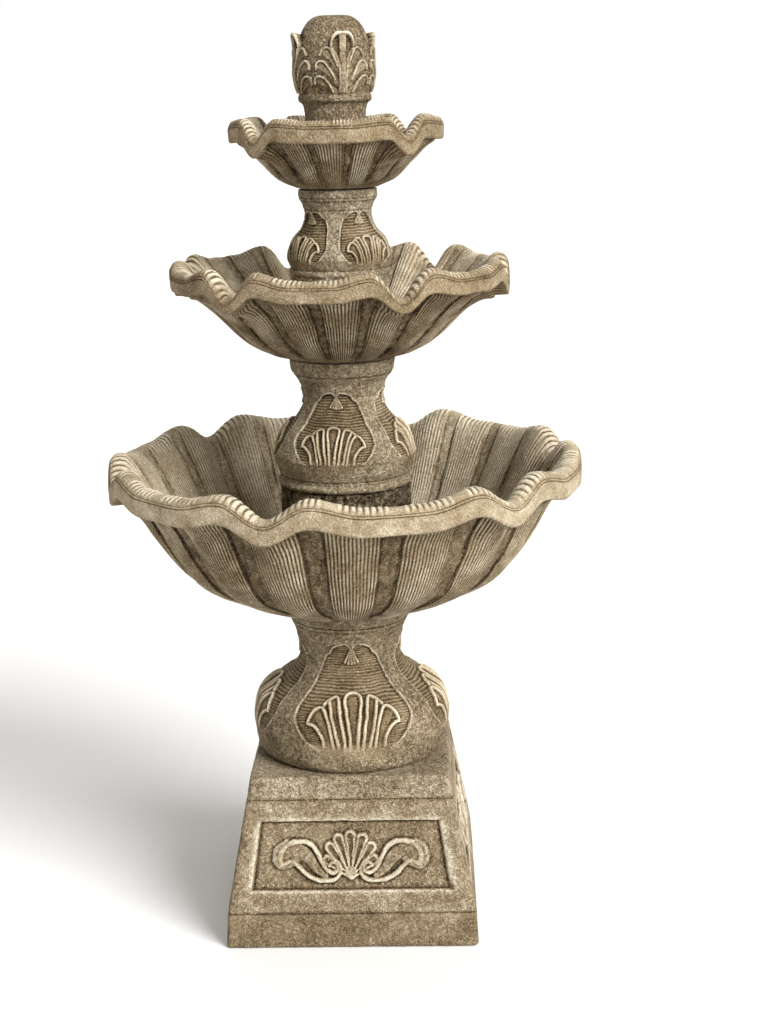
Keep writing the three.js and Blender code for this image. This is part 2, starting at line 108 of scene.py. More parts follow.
def run(points, count, curved=True):
    """count rows evenly spaced along an outline of [radius, height, shares...]; its last point is left out."""
    dense = soft(points, 24) if curved else np.array(points, float)
    length = travelled(dense)
    return rows_at(dense, length, np.linspace(0, length[-1], count, endpoint=False))


def by_height(points, spans):
    """Rows along an outline that only climbs; spans are [lowest height, highest height, rows]."""
    dense = soft(points, 24)
    length = travelled(dense)
    at = []
    for low, high, count in spans:
        ends = np.interp([low, high], dense[:, 1], length)
        at.append(np.linspace(*ends, count, endpoint=False))
    return rows_at(dense, length, np.concatenate(at))


def flat_rows(points, count):
    """Rows along a straight outline; its last point is left out."""
    return run(points, count, curved=False)


def plain_rows(start, end, count, shares):
    """Rows along a straight line between two [radius, height], with that many shares, all 0."""
    return flat_rows([(*start, *[0] * shares), (*end, *[0] * shares)], count)


def normals(p):
    """Outward normals of a closed grid of points."""
    du = np.roll(p, -1, 0) - np.roll(p, 1, 0)
    dv = np.roll(p, -1, 1) - np.roll(p, 1, 1)
    n = np.cross(du, dv)
    return n / (np.linalg.norm(n, axis=2, keepdims=True) + 1e-9)


def blurred(h, times):
    """A closed grid of heights, smoothed so many times."""
    for _ in range(times):
        h = (np.roll(h, 1, 0) + np.roll(h, -1, 0) + 2 * h) / 4
        h = (np.roll(h, 1, 1) + np.roll(h, -1, 1) + 2 * h) / 4
    return h


def wash_and_shade(h, base, fine=0.2, broad=0.08):
    """Where the antique wash has stayed, from the fine relief, with painted shade in broad hollows and painted
    light on broad rises from the broad relief: 0 is a dark recess and 1 a rubbed ridge.
    """
    return np.clip(base + fine * (h - blurred(h, 4)) + broad * (h - blurred(h, 30)), 0, 1)


class Field:
    """Positions on a surface in the [across, up] of a carving, with the mm that one unit of each is worth."""

    def __init__(self, x, y, sx=1.0, sy=1.0):
        self.x, self.y, self.sx, self.sy = x, y, sx, sy

    def distance(self, points):
        """mm to the nearest point of a polyline, and how far along it that is, from 0 to 1."""
        best = np.full(self.x.shape, 1e9)
        along = np.zeros(self.x.shape)
        count = len(points) - 1
        for i in range(count):
            (ax, ay), (bx, by) = points[i], points[i + 1]
            px, py = (self.x - ax) * self.sx, (self.y - ay) * self.sy
            ex, ey = (bx - ax) * self.sx, (by - ay) * self.sy
            t = np.clip((px * ex + py * ey) / (ex * ex + ey * ey + 1e-9), 0, 1)
            d = np.hypot(px - t * ex, py - t * ey)
            near = d < best
            along = np.where(near, (i + t) / count, along)
            best = np.where(near, d, best)
        return best, along

    def stroke(self, points, start, end=None, curved=True, flat=2.0):
        """Share 0 to 1 of a rounded stroke whose half width goes from start to end."""
        line = soft(points, 6) if curved and len(points) > 2 else np.array(points, float)
        d, along = self.distance(line)
        half = start + ((start if end is None else end) - start) * along
        return np.clip(1 - (d / half) ** flat, 0, 1)

    def pair(self, points, start, end=None, **shape):
        """A stroke and its mirror image."""
        right, left = (self.stroke(way, start, end, **shape) for way in (points, mirrored(points)))
        return np.maximum(right, left)


def mirrored(points):
    return [(-x, y) for x, y in points]


# ---------- stone surfaces ----------
def shell(name, p, tone, pit, body, look, replaced):
    """A closed mesh from a grid of points that wraps round both ways."""
    across, up, _ = p.shape
    index = np.arange(across * up).reshape(across, up)
    b = np.roll(index, -1, 0)
    quads = np.stack([index, b, np.roll(b, -1, 1), np.roll(index, -1, 1)], -1).reshape(-1, 4)
    mesh = bpy.data.meshes.new(name)
    mesh.vertices.add(across * up)
    mesh.vertices.foreach_set("co", (p.reshape(-1, 3) * MM).astype(np.float32).ravel())
    mesh.loops.add(quads.size)
    mesh.loops.foreach_set("vertex_index", quads.astype(np.int32).ravel())
    mesh.polygons.add(len(quads))
    mesh.polygons.foreach_set("loop_start", np.arange(0, quads.size, 4, dtype=np.int32))
    mesh.update(calc_edges=True)
    mesh.polygons.foreach_set("use_smooth", np.ones(len(quads), bool))
    for label, values in (("tone", tone), ("pit", pit)):
        layer = mesh.attributes.new(label, "FLOAT", "POINT")
        layer.data.foreach_set("value", np.broadcast_to(values, (across, up)).astype(np.float32).ravel())
    mesh.materials.append(look)
    o = bpy.data.objects.new(name, mesh)
    bpy.context.scene.collection.objects.link(o)
    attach(o, body)
    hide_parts(*replaced)
    return o


def turned(outline, count, first=0.0):
    """Grid of points of an outline turned about Z, and the angle of each column of points."""
    angle = first + np.arange(count) * 360 / count
    a = np.radians(angle)[:, None]
    r, z = outline[:, 0][None], outline[:, 1][None]
    return np.stack([r * np.sin(a), -r * np.cos(a), z + 0 * a], -1), angle


# ---------- bowls ----------
# in units of a bowl's "rib": how far a band stands out and the share of it lost at the band's edges, then how far
# the strips between bands lie in, outside and inside
LOBE_HIGH, LOBE_FALL = 1.7, 0.5
OUTER_SINK, INNER_SINK = 1.75, 0.4
INNER_RIB = 0.8    # rib inside a bowl for each mm of rib outside
LINE_DEPTH = 1.5    # mm, of the incised lines round a rim
SAG_SPEED = 1.6    # the sag is full 1 / SAG_SPEED of the way from a lip's shoulder to mid span


def ease(t):
    """0 to 1 for t from 0 to 1, level at both ends."""
    return (1 - np.cos(np.pi * np.clip(t, 0, 1))) / 2


def rim_wave(angle, rim):
    """Height of the rim above its crests: -drop at a lip, 0 at its shoulders, -sag between."""
    spacing = 360 / rim["lips"]
    away = np.abs((angle - rim["first"] + spacing / 2) % spacing - spacing / 2)
    lip = -rim["drop"] * (1 - ease(away / rim["peak"]))
    rest = -rim["sag"] * ease((away - rim["peak"]) / (spacing / 2 - rim["peak"]) * SAG_SPEED)
    return np.where(away < rim["peak"], lip, rest)


def ribbed(columns, bands, wander):
    """Bands of fine ridges round a bowl, one for every bands["per"] columns, with rough strips between them.

    Gives the share of band, the crease at its edges, the ridges from -1 to 1, and the place across the band, 0 in
    its middle and 1 at its edges.
    """
    per, width = bands["per"], bands["width"]
    x = (columns + per / 2) % per - per / 2
    half = bands["ridges"] * width / 2
    off = np.abs(x) + 0.7 * wander
    band = 1 - step(half - 1.0, half + 2.5, off)
    crease = np.exp(-((off - half - 1.4) / 1.3) ** 2)
    ridge = 1 - 2 * ((1 + np.cos(2 * np.pi * (x + 0.3 * wander) / width)) / 2) ** 2
    return band, crease, ridge, np.clip(np.abs(x) / half, 0, 1)


def bowl(name, outline, rim, count, outer, inner, seed, body, replaced):
    """A scalloped bowl with combed bands outside and inside.

    Columns of its outline: radius, height, and the shares of wave, outer band, inner band, fascia, teeth and
    incised line.
    """
    p, angle = turned(outline, count, rim["first"])
    wave, out, ins, fascia, teeth, line = (outline[:, k][None] for k in range(2, 8))
    p[..., 2] += wave * rim_wave(angle, rim)[:, None]
    n = normals(p)
    columns = np.arange(count)[:, None]
    wander = 1.6 * noise(p, 26, seed) + 1.0 * noise(p, 9, seed)
    band_o, crease_o, ridge_o, at_o = ribbed(columns, outer, wander)
    shift = inner["per"] / 2
    band_i, crease_i, ridge_i, at_i = ribbed(columns + shift, inner, wander)
    wear = 0.75 + 0.55 * noise(p, 24, seed + 5)
    lobe_o = rim["rib"] * (LOBE_HIGH * band_o * (1 - LOBE_FALL * at_o ** 2) - OUTER_SINK)
    lobe_i = INNER_RIB * rim["rib"] * (LOBE_HIGH * band_i * (1 - LOBE_FALL * at_i ** 2) - INNER_SINK)
    ribs_o = out * (1 - fascia)
    combed = ins * inner["fine"] * band_i * ridge_i * wear
    fine = ribs_o * outer["fine"] * band_o * ridge_o * wear + combed
    tooth = 1 - 2 * ((1 + np.cos(2 * np.pi * (columns + shift) / rim["tooth"])) / 2) ** 3
    fine = fine + teeth * inner["teeth"] * np.where(band_i > 0.5, tooth, 0.2) * wear
    strip = ribs_o * (1 - band_o) + ins * (1 - band_i)
    crease = ribs_o * crease_o + ins * crease_i
    rough = 1.2 * noise(p, 7, seed + 9) + 0.9 * noise(p, 4.5, seed + 2)
    plain = 0.35 * lumps(p, 14) * (1 - fascia) + 0.35 * lumps(p, 24) * fascia
    h = out * lobe_o + ins * lobe_i + fine + rough * strip - 0.9 * crease + plain
    p = p + n * (h - LINE_DEPTH * line)[..., None]
    # painted shadow: the rows just beneath the fascia's overhang are darkened as if in its shade
    shadow_under_fascia = ribs_o * np.maximum(np.roll(fascia, -1, 1), 0.6 * np.roll(fascia, -2, 1))
    tone = 0.475 + (0.52 * fine - 0.20 * combed) / outer["fine"]
    tone = tone - 0.35 * shadow_under_fascia + 0.02 * strip - 0.3 * crease + 0.1 * noise(p, 16, seed)
    # painted shade and light: the ribbed outside and underside are darkened by 0.13 as if shaded, and the inside
    # is lightened by 0.20 as if lit past the tiers above
    tone = tone + rim["pale"] * fascia - 0.6 * line - 0.13 * ribs_o + 0.20 * ins
    # painted shade: the combed bands darken towards their edges, as rounded bands do under a light from the front
    tone = tone + 0.11 * strip * rough - 0.10 * ribs_o * at_o ** 3 * band_o - 0.08 * ins * at_i ** 3 * band_i
    pit = 0.22 + 0.42 * strip - 0.08 * fascia
    return shell(name, p, np.clip(tone, 0, 1), np.clip(pit, 0, 1), body, STONE, replaced)


# ---------- carved columns ----------
PANEL_DEPTH = 3.6    # mm
COMB_PERIOD = 4.4    # mm between the grooves in a panel's ground
# shares of a panel's height, and its half angle at each
PANEL_SIDE = ([0, 0.02, 0.08, 0.18, 0.30, 0.41, 0.55, 0.70, 0.80, 0.865, 0.885, 0.94, 0.96, 1.1],
              [18, 21.5, 28, 33, 37, 37.3, 36, 34.5, 31.5, 28.5, 24.5, 21, 20, 19])
# half angles across a panel's arched top, and the share of the height that the arch reaches at each
PANEL_TOP = ([0, 2.6, 4, 7, 13, 20.5, 22, 28], [0.95, 0.965, 0.99, 1.0, 0.99, 0.955, 0.93, 0.88])
# strokes in [degrees from the panel's middle, share of its height]: the scrolls of the arch, then the palmette
ARCH = [(28, 0.87), (24, 0.90), (20.5, 0.955), (13, 0.99), (7, 1.0), (3.8, 0.985), (2.6, 0.96), (4.2, 0.945),
        (5.6, 0.958)]
FINGER_0 = [(-2.0, 0.0), (-2.6, 0.2), (-4.0, 0.36), (-5.7, 0.47), (-5.2, 0.512), (-3.0, 0.528), (0, 0.534),
            (3.0, 0.528), (5.2, 0.512), (5.7, 0.47), (4.0, 0.36), (2.6, 0.2), (2.0, 0.0)]
FINGER_1 = [(4.8, 0.0), (6.2, 0.2), (8.2, 0.36), (9.8, 0.46), (11.6, 0.503), (14.2, 0.502), (17.6, 0.478),
            (20.0, 0.445)]
FINGER_1_LEG = [(17.0, 0.47), (14.2, 0.39), (11.2, 0.22), (8.8, 0.04)]
FINGER_2 = [(11.8, 0.03), (13.6, 0.2), (15.6, 0.32), (18.4, 0.395), (21.6, 0.424), (25, 0.40), (27.3, 0.335),
            (27.8, 0.275)]
FINGER_2_LEG = [(27.8, 0.272), (24.8, 0.262), (21.4, 0.215), (18.4, 0.13), (17.6, 0.04)]
# [stroke, half width at its start, half width at its end]
FINGER_BEDS = [([(0, 0.0), (0, 0.50)], 6, 9), ([(7, 0.02), (9.6, 0.28), (13.4, 0.47)], 5, 8),
               ([(14.5, 0.03), (17.5, 0.22), (22.5, 0.37)], 5, 8)]


def column(name, outline, count, turn, low, high, lines, seed, body, replaced, strokes=3.2, pale=0.0):
    """A turned casting with four carved panels between the heights low and high.

    Columns of its outline: radius, height, and the shares of carving and of all relief. lines are incised rings,
    [height, depth, half width]. strokes sizes the lines of the carving, and pale is painted light: it lightens
    the plain parts where the bowls above shade them.
    """
    p, angle = turned(outline, count)
    n = normals(p)
    carved = outline[:, 2][None]
    r = np.maximum(outline[:, 0][None], 20)
    z = outline[:, 1][None] + 0 * p[..., 0]
    climb = np.maximum(np.abs(np.gradient(outline[:, 1])), 0.05)
    slope = np.abs(np.gradient(outline[:, 0])) / climb
    a = ((angle - turn + 45) % 90 - 45)[:, None] + 0 * z
    t = (z - low) / (high - low)
    tall = (high - low) * np.sqrt(1 + np.clip(slope, 0, 3) ** 2)[None]
    mm_angle = r * np.pi / 180
    field = Field(a + 0.8 * noise(p, 10, seed + 6) / mm_angle, t + 0.7 * noise(p, 10, seed + 8) / tall,
                  mm_angle, tall)
    side = (np.interp(t, *PANEL_SIDE) - np.abs(a)) * mm_angle
    top = np.interp(np.abs(a), *PANEL_TOP)
    inside = np.minimum(side, (top - t) * tall) + 0.5 * noise(p, 6, seed)
    recess = step(-0.2, 2.2, inside)
    edge = np.exp(-((inside + 0.9) / 1.3) ** 2) * step(0.03, 0.1, t)
    beds = np.zeros_like(a)
    rims = np.zeros_like(a)
    for points, start, end in FINGER_BEDS:
        beds = np.maximum(beds, field.pair(points, start, end, flat=4))
    for points in (FINGER_0, FINGER_1, FINGER_1_LEG, FINGER_2, FINGER_2_LEG):
        rims = np.maximum(rims, field.pair(points, strokes * 1.08))
    scroll = field.pair(ARCH, strokes * 0.62)
    bell = field.stroke([(0, 0.95), (0, 0.86), (0, 0.795)], 2.0, 4.0)
    for points in ([(1, 0.94), (3.4, 0.88), (7.5, 0.80)], [(0.5, 0.9), (2.4, 0.85), (3.8, 0.79)]):
        bell = np.maximum(bell, 0.9 * field.pair(points, 1.6, 2.8))
    rows = t * (high - low) * 1.1 + 1.6 * noise(p, 26, seed + 2) + 0.8 * noise(p, 11, seed + 4)
    comb = np.cos(2 * np.pi * rows / COMB_PERIOD)
    foot = step(0.0, 0.12, t)
    ground = -PANEL_DEPTH * recess * foot + 0.9 * comb * recess * (1 - beds) * foot
    h = ground + 1.5 * beds * recess * foot
    lift = np.sqrt(rims) * step(-0.02, 0.06, t)
    h = np.where(rims > 0, h * (1 - lift) + lift * (0.6 + 1.3 * step(0.05, 0.4, t)), h)
    h = np.maximum(h, -PANEL_DEPTH + 4.4 * np.sqrt(bell) * (bell > 0))
    h = h + 0.9 * edge * (1 - 0.6 * lift) + 1.2 * np.sqrt(scroll)
    h = h * carved
    plain = (1 - recess) * carved + (1 - carved)
    worn = 0.5 * lumps(p, 12) + 0.5 * noise(p, 5, seed) + 0.5 * step(0.2, 0.6, noise(p, 6, seed + 7))
    h = h + worn * plain
    marks = np.zeros_like(a)
    for height, depth, half in lines:
        marks = np.maximum(marks, depth * np.exp(-((z - height) / half) ** 2))
    h = h - marks
    p = p + n * (h * outline[:, 3][None])[..., None]
    # painted light: pale lightens the plain parts of the middle and upper columns, which the bowls above shade
    base = 0.44 + (0.06 + pale) * plain + 0.08 * lift + 0.11 * edge * carved
    base = base + (0.10 * comb * (1 - lift) * (1 - beds) - 0.08) * recess * carved * foot
    base = base + 0.14 * (bell > 0.2) * carved + 0.10 * noise(p, 18, seed + 1) - 0.22 * marks
    tone = wash_and_shade(h, base, 0.26, 0.035)
    pit = 0.8 * plain + 0.2 * (1 - plain)
    return shell(name, p, tone, np.clip(pit - 0.4 * lift, 0, 1), body, STONE, replaced)


# ---------- finial ----------
# heights, and the half widths in degrees of a leaf's curled tip and of the hollows in it
TONGUE = ([1396, 1410, 1422, 1432, 1440, 1447, 1453, 1457, 1460, 1462],
          [5.5, 9.0, 13.5, 17.0, 18.8, 18.6, 16.5, 13.0, 8.0, 0.5])
HOLLOW = ([1412, 1420, 1430, 1440, 1447, 1452, 1455, 1457], [5.5, 9.5, 13.4, 15.0, 14.6, 12.0, 8.0, 1.0])
CURL_FROM, CURL_TALL, CURL_OUT = 1408, 49, 12.0    # where the tip starts to curl, over what height, how far out
# strokes in [degrees from the leaf's middle, height]: the flare beside the stem, the lobes, the beds under them
LEAF_FLARE = [(-14.5, 1438), (-8.6, 1426), (-5.2, 1408), (-4.6, 1390), (-5.6, 1374)]
LEAF_LOBES = [
    [(33.5, 1430), (29.5, 1437), (23.5, 1440.5), (17.5, 1436), (11.5, 1425), (8.5, 1412)],
    [(39, 1409), (38.5, 1416.5), (33, 1420.5), (26, 1418), (18.5, 1407), (12.5, 1393)],
    [(42.5, 1387), (41, 1394.5), (35, 1398), (27.5, 1395), (20.5, 1386), (15, 1375)],
]
LEAF_BEDS = [([(6, 1402), (14, 1422), (24, 1432)], 4, 6), ([(9, 1386), (20, 1403), (33, 1413)], 4.5, 6),
             ([(10, 1374), (24, 1384), (36, 1391)], 4, 5.5), ([(0, 1374), (0, 1448)], 6, 15)]


def finial_stone(outline, count, turn, body, replaced):
    """Four leaves round a hollow core.

    Columns of its outline: radius, height, and the shares of carving, of the bead ring and of all relief.
    """
    p, angle = turned(outline, count)
    n = normals(p)
    r = np.maximum(outline[:, 0][None], 20)
    z = outline[:, 1][None] + 0 * p[..., 0]
    a = ((angle - turn + 45) % 90 - 45)[:, None] + 0 * z
    field = Field(a + 0.6 * noise(p, 9, 2.0), z + 0.5 * noise(p, 9, 8.0), r * np.pi / 180, 1.05)
    bed = np.zeros_like(a)
    for points, start, end in LEAF_BEDS:
        bed = np.maximum(bed, field.pair(points, start, end, flat=4))
    ridge = field.pair(LEAF_FLARE, 2.2, 2.6)
    for points in LEAF_LOBES:
        ridge = np.maximum(ridge, field.pair(points, 2.5, 2.0))
    stem = field.stroke([(0, 1373), (0, 1410), (0, 1450)], 4.2, 4.6)
    on = outline[:, 2][None]
    h = 2.0 * np.sqrt(bed) * on
    h = np.maximum(h, (0.6 + 4.0 * np.sqrt(ridge)) * (ridge > 0) * on)
    h = np.maximum(h, (1.8 + 3.0 * np.sqrt(stem)) * (stem > 0) * on)
    # the tip is a tongue that curls out, with a rim round it and a hollow each side of its stem
    reach = np.abs(a) / np.interp(z, *TONGUE)
    tongue = (1 - step(0.86, 1.08, reach)) * (1 - step(1459, 1462, z))
    curl = np.clip((z - CURL_FROM) / CURL_TALL, 0, 1)
    deep = np.abs(a) / np.interp(z, *HOLLOW)
    tip = tongue * step(0.95, 1.2, deep) * step(1416, 1436, z)
    cup = tongue * (1 - step(0.8, 1.08, deep)) * step(3.8, 6.2, np.abs(a)) * step(1410, 1450, z)
    h = h * (1 - 0.7 * tongue * curl) + tongue * (1.0 + CURL_OUT * curl ** 2.2) + 1.3 * tip - 5.0 * cup
    plain = np.clip(1 - bed - ridge - tip, 0, 1)
    bare = plain * (0.4 + 0.6 * on)
    h = h + 0.5 * lumps(p, 10) * bare + 0.35 * noise(p, 4.5) * bare
    bead = outline[:, 3][None] + 0 * a
    p = p + n * (h * outline[:, 4][None])[..., None]
    rubbed = 0.14 * np.sqrt(ridge) + 0.12 * np.sqrt(stem) + 0.10 * np.sqrt(np.clip(tip, 0, 1))
    # painted shade: cup darkens the hollows under the curled tip by 0.2, as if in its shadow
    base = 0.49 + rubbed * on + 0.08 * bead - 0.2 * cup
    base = base + 0.1 * noise(p, 14) + 0.10 * (1 - step(1350, 1360, z)) - 0.04 * step(1458, 1470, z)
    pit = np.clip(0.85 - 0.5 * (bed > 0) - 0.3 * tip, 0, 1)
    return shell("finial_stone", p, wash_and_shade(h, base, 0.24, 0.03), pit, body, STONE, replaced)


# ---------- plinth ----------
# the panel's shell and scrolls, in mm from the middle of its width and up from the ground; each lobe of the shell
# is [degrees that it leans, length]
FAN_FOOT = (0.0, 119.0)
FAN_LOBES = [(0, 77), (17, 75), (-17, 75), (34, 69), (-34, 69), (52, 56), (-52, 56)]
SCROLL_TOP = [(114, 141), (116, 155), (110, 168), (98, 176), (80, 179), (64, 172), (53, 156), (44, 139), (36, 129),
              (27, 127), (21, 133), (24, 142), (31, 144), (35, 138)]
SCROLL_LOW = [(112, 141), (97, 146), (86, 137), (71, 123), (53, 115), (34, 114), (21, 120), (16, 131), (19, 142),
              (26, 148)]
SCROLL_CURL = [(92, 149), (104, 141), (116, 139), (123, 148), (123, 160), (117, 170), (106, 178)]
SCROLL_BODY = [(110, 158), (88, 164), (70, 152), (56, 134), (42, 122)]
SCROLL_END = [(104, 152), (110, 160)]
SCROLL_EYE = [(28, 136), (28.5, 136.5)]
# in from the wall's edge, foot and top above the ground, and how far it is sunk
PLINTH_PANEL = {"margin": 31.5, "low": 98, "high": 212, "depth": 6.0}


def rounding(radius, into):
    """How far a rounded edge draws in, for a point that lies that far into the rounding."""
    return radius - math.sqrt(max(0.0, radius ** 2 - max(0.0, into) ** 2))


def plinth(name, body, replaced):
    """Square hollow plinth: tapered walls, a sunk panel in each, and a cord notch at the foot of the back one."""
    half_foot, half_line, half_top = 209.0, 205.0, 163.0
    line_z, band_z, high = 60.5, 246.6, 284.0
    foot_round, top_round, corner = 6.0, 2.5, 9.0
    bore, ceiling, half_ceiling, half_mouth = 50.0, 239.0, 128.0, 167.0
    notch_half, notch_high, notch_fade = 15, 20, 57
    bead_gap, bead_z = 8.6, 107
    lobe_tip, flute_from = 9, 0.30

    def half_at(z):
        return np.where(z < line_z, half_foot + (half_line - half_foot) * z / line_z,
                        half_line + (half_top - half_line) * (z - line_z) / (high - line_z))

    # rows: height, half width, share of a circle, row is on the carved outside
    rows = []
    outside = np.concatenate([
        [0.0, 1.6, 4.6, 9.0], np.linspace(15, 57, 6), [line_z - 1.2, line_z, line_z + 1.2], np.linspace(66, 93, 5),
        np.linspace(96.5, 213.5, 74), [220, 229, 238, band_z - 1.2, band_z, band_z + 1.2],
        [252, 257, 262, 267, 272, 277, 281.5, 283.4]])
    for z in outside:
        tuck = rounding(foot_round, foot_round - z) + rounding(top_round, z - (high - top_round))
        rows.append((z, float(half_at(z)) - tuck, 0.0, 1.0))
    rows += [(high, 159.0, 0.0, 0.3), (high, 156.0, 0.05, 0.0), (high, 110.0, 0.6, 0.0), (high, bore, 1.0, 0.0),
             (ceiling, bore, 1.0, 0.0), (ceiling, half_ceiling, 0.0, 0.0), (0.0, half_mouth, 0.0, 0.0),
             (0.0, 200.0, 0.0, 0.0)]
    rows = np.array(rows)
    # columns: share of the half width along one side, closer together over the carving
    spans = [(-1, -0.955, 8), (-0.93, -0.84, 4), (-0.815, -0.68, 12), (-0.665, 0.665, 170), (0.68, 0.815, 12),
             (0.84, 0.93, 4), (0.955, 1, 8)]
    across = np.concatenate([np.linspace(*span) for span in spans])[:-1]
    z = rows[:, 0][None]
    half = rows[:, 1][None]
    round_share = rows[:, 2][None]
    parts = []
    for side in range(4):
        x = across[:, None] * half
        over = np.clip((np.abs(x) - (half - corner)) / corner, 0, 1)
        bend = over * np.pi / 4
        px = np.where(over > 0, np.sign(x) * (half - corner + corner * np.sin(bend)), x)
        py = np.where(over > 0, -(half - corner) - corner * np.cos(bend), -half)
        turn = np.radians(across * 45)[:, None]
        px = (1 - round_share) * px + round_share * half * np.sin(turn)
        py = (1 - round_share) * py - round_share * half * np.cos(turn)
        c, s = round(math.cos(side * math.pi / 2)), round(math.sin(side * math.pi / 2))
        pz = z + 0 * px
        if side == 2:
            notched = (np.abs(px) < notch_half) & (pz < notch_fade)
            pz = np.where(notched, notch_high + pz * (notch_fade - notch_high) / notch_fade, pz)
        parts.append(np.stack([c * px - s * py, s * px + c * py, pz], -1))
    p = np.concatenate(parts, 0)
    n = normals(p)
    x = np.concatenate([across[:, None] * half] * 4, 0)
    zz = z + 0 * x
    on = rows[:, 3][None]
    lean = 1.0175    # mm along a wall for each mm of height
    field = Field(x + 0.9 * noise(p, 11, 3.0), zz + 0.9 * noise(p, 11, 6.0), 1.0, lean)
    side = (half_at(zz) - PLINTH_PANEL["margin"] - np.abs(x)) / lean
    level = np.minimum((zz - PLINTH_PANEL["low"]) * lean, (PLINTH_PANEL["high"] - zz) * lean)
    inside = np.minimum(side, level) + 0.7 * noise(p, 9)
    sunk = step(-0.6, 1.4, inside)
    rim = np.exp(-((inside + 1.6) / 1.8) ** 2)
    # shell: seven flutes that fan out from the foot
    fan = np.zeros_like(x)
    flute = np.zeros_like(x)
    for lean_to, length in FAN_LOBES:
        ex = FAN_FOOT[0] + (length - lobe_tip) * math.sin(math.radians(lean_to))
        ez = FAN_FOOT[1] + (length - lobe_tip) * math.cos(math.radians(lean_to))
        fan = np.maximum(fan, field.stroke([FAN_FOOT, (ex, ez)], 4.5, 10.5, flat=3))
        sx = FAN_FOOT[0] + flute_from * (ex - FAN_FOOT[0])
        sz = FAN_FOOT[1] + flute_from * (ez - FAN_FOOT[1])
        flute = np.maximum(flute, field.stroke([(sx, sz), (ex, ez)], 1.5, 5.6, flat=2.5))
    leaf = np.maximum(field.pair(SCROLL_BODY, 15, 6, flat=4), field.pair(SCROLL_END, 11, flat=4))
    edges = np.maximum(field.pair(SCROLL_TOP, 5.2, 3.0), 0.9 * field.pair(SCROLL_LOW, 4.2, 3.2))
    curls = field.pair(SCROLL_CURL, 8.5, 5.0, flat=3)
    eye = field.pair(SCROLL_EYE, 3.6, curved=False)
    h = (-PLINTH_PANEL["depth"] + 0.8 * lumps(p, 8) + 0.7 * noise(p, 4.2)) * sunk
    carve = np.maximum(5.0 * np.sqrt(leaf), 5.4 * np.sqrt(curls))
    carve = np.maximum(carve, 3.6 * (edges > 0) + 4.0 * np.sqrt(edges))
    carve = np.maximum(carve, np.where(fan > 0, 7.2 * np.sqrt(fan) - 3.4 * np.sqrt(flute), 0))
    carve = np.maximum(carve, 5.0 * np.sqrt(eye))
    beads = 1.5 * sunk * np.clip(np.cos(2 * np.pi * x / bead_gap), 0, 1) * np.exp(-((zz - bead_z) / 2.6) ** 2)
    inner = sunk * step(1.0, 3.0, inside)
    h = h + carve * inner + beads + 0.8 * rim * (0.6 + 0.6 * noise(p, 12))
    joint = np.exp(-((zz - line_z) / 1.1) ** 2) + np.exp(-((zz - band_z) / 1.1) ** 2)
    band = step(247, 250, zz)
    below = step(0, 1, line_z - zz)
    worn = (1 - sunk) * (0.5 * lumps(p, 16) + 0.35 * noise(p, 6) + 0.5 * band * noise(p, 10, 4.0))
    h = (h + worn - 1.1 * joint) * on
    p = p + n * h[..., None]
    p[..., 2] = np.maximum(p[..., 2], 0)
    raised = np.clip(np.sqrt(edges) + np.sqrt(fan) * (1 - np.sqrt(flute)) + 0.5 * np.sqrt(eye), 0, 1) * inner
    base = 0.51 + 0.09 * raised - 0.3 * joint * on + 0.05 * rim - 0.12 * np.sqrt(flute) * inner
    base = base + 0.1 * noise(p, 26) + 0.06 * noise(p, 9) + 0.09 * band - 0.09 * below
    tone = wash_and_shade(h, base, 0.2, 0.035)
    pit = 0.55 + 0.35 * band - 0.15 * below - 0.3 * raised
    return shell(name, p, tone, np.clip(pit, 0, 1), body, STONE, replaced)


# ---------- materials ----------
NOISE, CELLS = "ShaderNodeTexNoise", "ShaderNodeTexVoronoi"


def ramp(tree, value, stops):
    """Colours, or greys of one number, between the stops [value, colour]."""
    node = tree.nodes.new("ShaderNodeValToRGB")
    band = node.color_ramp
    while len(band.elements) > 1:
        band.elements.remove(band.elements[-1])
    for i, (at, colour) in enumerate(stops):
        element = band.elements[0] if i == 0 else band.elements.new(at)
        element.position = at
        element.color = (*colour, 1) if len(colour) == 3 else (colour[0], colour[0], colour[0], 1)
    tree.links.new(value, node.inputs[0])
    return node.outputs[0]


def maths(tree, kind, a, b, clamp=False):
    node = tree.nodes.new("ShaderNodeMath")
    node.operation = kind
    node.use_clamp = clamp
    for socket, value in zip(node.inputs, (a, b)):
        if isinstance(value, (int, float)):
            socket.default_value = value
        else:
            tree.links.new(value, socket)
    return node.outputs[0]


def pattern(tree, kind, scale, detail=2.0, stretch=None, roughness=0.6):
    """A noise or cell pattern in the piece's own coordinates, in metres."""
    at = tree.nodes.new("ShaderNodeTexCoord").outputs["Object"]
    if stretch:
        mapping = tree.nodes.new("ShaderNodeMapping")
        mapping.inputs["Scale"].default_value = stretch
        tree.links.new(at, mapping.inputs["Vector"])
        at = mapping.outputs[0]
    node = tree.nodes.new(kind)
    node.inputs["Scale"].default_value = scale
    if kind == NOISE:
        node.inputs["Detail"].default_value = detail
        node.inputs["Roughness"].default_value = roughness
    tree.links.new(at, node.inputs["Vector"])
    return node.outputs["Fac" if kind == NOISE else "Distance"]


def bare_material(name):
    m = bpy.data.materials.new(name)
    m.use_nodes = True
    tree = m.node_tree
    return m, tree, tree.nodes["Principled BSDF"]


def bump(tree, height, strength, distance, shader):
    node = tree.nodes.new("ShaderNodeBump")
    node.inputs["Strength"].default_value = strength
    node.inputs["Distance"].default_value = distance
    tree.links.new(height, node.inputs["Height"])
    tree.links.new(node.outputs[0], shader.inputs["Normal"])


def attribute(tree, name):
    node = tree.nodes.new("ShaderNodeAttribute")
    node.attribute_name = name
    return node.outputs["Fac"]


